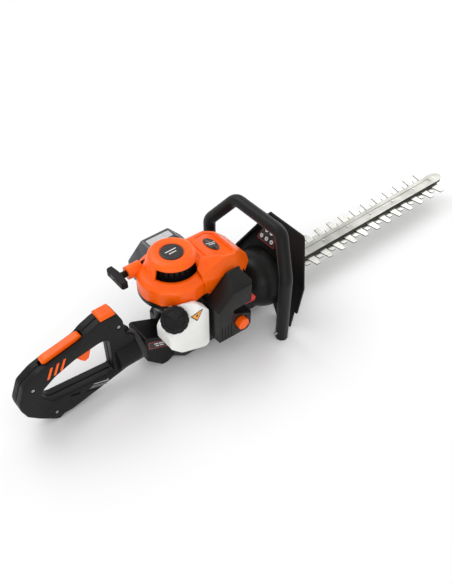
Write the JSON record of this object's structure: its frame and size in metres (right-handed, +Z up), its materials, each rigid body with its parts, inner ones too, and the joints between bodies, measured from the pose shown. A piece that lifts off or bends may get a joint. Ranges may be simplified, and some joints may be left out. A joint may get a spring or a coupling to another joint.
{
  "type": "hedge trimmer",
  "caption": "Petrol hedge trimmer with double-sided reciprocating blades, a loop front handle with hand guard, and a swivelling rear handle with throttle.",
  "frame": {"origin": "on the ground under the middle of the whole tool", "axes": "+X towards the blade tip, +Y to the user's left, +Z up"},
  "size_m": [1.148, 0.262, 0.239],
  "materials": {
    "black_nylon": "fine spark-eroded texture",
    "dark_nylon": "satin",
    "orange_abs": "semi-gloss",
    "tank_hdpe": "translucent white",
    "cast_alu": "bead-blasted casting",
    "steel": "ground",
    "blade_steel": "polished",
    "bar_steel": "satin",
    "red_nylon": "semi-gloss",
    "foam": "open-cell foam",
    "rope": "braided",
    "rubber": "matte",
    "label": "printed film",
    "handle_tube": "soft-touch coating"
  },
  "bodies": {
    "frame": {"main_frame": "black_nylon", "swivel_spigot": "black_nylon", "gearcase_lower": "cast_alu", "gearcase_upper": "cast_alu", "frame_screws": "steel", "bearings": "steel", "blade_guide_bar": "bar_steel", "blade_bolts": "steel", "nose_brackets": "steel", "clutch_housing": "cast_alu", "crankcase": "cast_alu", "cylinder": "cast_alu", "spark_plug": "steel", "ignition_coil_and_boot": "rubber", "carburettor": "cast_alu", "filter_base": "dark_nylon", "muffler": "steel", "muffler_guard": "dark_nylon", "starter_housing": "orange_abs", "starter_trim": "black_nylon", "recoil_spring": "steel", "engine_cover": "orange_abs", "lower_shroud": "black_nylon", "hand_guard": "black_nylon", "guard_bulge": "dark_nylon", "front_handle": "handle_tube", "fuel_tank": "tank_hdpe", "fuel_line": "rubber", "label_plates": "label", "air_filter_foam": "foam"},
    "drive_gear": {"drive_gear": "steel"},
    "clutch_drum": {"clutch_drum": "steel"},
    "upper_blade": {"upper_blade": "blade_steel", "upper_rod": "steel", "upper_eccentric": "steel"},
    "lower_blade": {"lower_blade": "blade_steel", "lower_rod": "steel", "lower_eccentric": "steel"},
    "crank": {"crankshaft": "steel", "flywheel": "cast_alu", "clutch_shoes": "steel"},
    "piston": {"piston": "cast_alu", "piston_fittings": "steel", "connecting_rod": "steel"},
    "starter_pulley": {"starter_pulley": "black_nylon"},
    "starter_grip": {"starter_grip": "black_nylon", "starter_rope": "rope"},
    "filter_cover": {"filter_cover": "dark_nylon"},
    "filter_knob": {"filter_knob": "orange_abs"},
    "choke_lever": {"choke_lever": "red_nylon"},
    "fuel_cap": {"fuel_cap": "black_nylon"},
    "fuel_cap_plug": {"fuel_cap_seal": "rubber"},
    "rear_handle": {"rear_handle_left": "black_nylon", "rear_handle_right": "black_nylon", "handle_screws": "steel", "handle_accents": "orange_abs"},
    "throttle_trigger": {"throttle_trigger": "orange_abs"},
    "throttle_lockout": {"throttle_lockout": "orange_abs"},
    "stop_switch": {"stop_switch": "orange_abs"},
    "swivel_lock": {"swivel_lock": "black_nylon"}
  },
  "joints": [
    {"name": "handle_swivel", "type": "hinge", "parent": "frame", "child": "rear_handle", "pos_m": [-0.351, 0, 0.067], "axis": [1, 0, 0], "range_deg": [-90, 90]},
    {"name": "swivel_lock_press", "type": "slide", "parent": "rear_handle", "child": "swivel_lock", "axis": [0, 0, -1], "range_m": [0, 0.003], "stiffness_N_per_m": 900, "springref_m": -0.002},
    {"name": "throttle_pull", "type": "hinge", "parent": "rear_handle", "child": "throttle_trigger", "pos_m": [-0.415, 0, 0.138], "axis": [0, 1, 0], "range_deg": [0, 13], "stiffness_Nm_per_rad": 0.6, "springref_deg": -17.19},
    {"name": "lockout_press", "type": "hinge", "parent": "rear_handle", "child": "throttle_lockout", "pos_m": [-0.4423, 0, 0.161], "axis": [0, -1, 0], "range_deg": [0, 4], "stiffness_Nm_per_rad": 1.5, "springref_deg": -6.88},
    {"name": "stop_switch_slide", "type": "slide", "parent": "rear_handle", "child": "stop_switch", "axis": [-1, 0, 0], "range_m": [0, 0.005]},
    {"name": "drive_gear_spin", "type": "hinge", "parent": "frame", "child": "drive_gear", "pos_m": [-0.18336, 0, 0.06], "axis": [0, 0, 1], "continuous": true},
    {"name": "clutch_drum_spin", "type": "hinge", "parent": "frame", "child": "clutch_drum", "pos_m": [-0.223, 0.016, 0.06], "axis": [0, 0, 1], "continuous": true},
    {"name": "upper_blade_slide", "type": "slide", "parent": "frame", "child": "upper_blade", "axis": [1, 0, 0], "range_m": [-0.008, 0.008]},
    {"name": "lower_blade_slide", "type": "slide", "parent": "frame", "child": "lower_blade", "axis": [1, 0, 0], "range_m": [-0.008, 0.008]},
    {"name": "crank_spin", "type": "hinge", "parent": "frame", "child": "crank", "pos_m": [-0.223, 0.016, 0.129], "axis": [0, 0, 1], "continuous": true},
    {"name": "piston_slide", "type": "slide", "parent": "frame", "child": "piston", "axis": [1, 0, 0], "range_m": [-0.014, 0.014]},
    {"name": "starter_pull", "type": "slide", "parent": "frame", "child": "starter_grip", "axis": [-1, 0, 0], "range_m": [0, 0.6], "stiffness_N_per_m": 12, "springref_m": -0.4},
    {"name": "starter_pulley_spin", "type": "hinge", "parent": "frame", "child": "starter_pulley", "pos_m": [-0.223, 0.016, 0.188], "axis": [0, 0, 1], "range_deg": [0, 880]},
    {"name": "choke_turn", "type": "hinge", "parent": "frame", "child": "choke_lever", "pos_m": [-0.155, -0.07, 0.121], "axis": [0, 1, 0], "range_deg": [0, 14]},
    {"name": "filter_cover_slide", "type": "slide", "parent": "frame", "child": "filter_cover", "axis": [0, -1, 0], "range_m": [0, 0.12]},
    {"name": "filter_knob_turn", "type": "hinge", "parent": "filter_cover", "child": "filter_knob", "pos_m": [-0.15, -0.09, 0.088], "axis": [0, -1, 0], "range_deg": [0, 1080]},
    {"name": "fuel_cap_lift", "type": "slide", "parent": "frame", "child": "fuel_cap_plug", "axis": [-0.4591, -0.5489, 0.6986], "range_m": [0, 0.012]},
    {"name": "fuel_cap_turn", "type": "hinge", "parent": "fuel_cap_plug", "child": "fuel_cap", "pos_m": [-0.274, -0.058, 0.143], "axis": [-0.4591, -0.5489, 0.6986], "range_deg": [0, 1081]}
  ],
  "couplings": [
    {"joint": "clutch_drum_spin", "follows": "drive_gear_spin", "ratio": -3.3846},
    {"joint": "lower_blade_slide", "follows": "upper_blade_slide", "ratio": -1},
    {"joint": "starter_pulley_spin", "follows": "starter_pull", "rad_per_m": 25.126},
    {"joint": "fuel_cap_turn", "follows": "fuel_cap_lift", "rad_per_m": 1570.8}
  ]
}
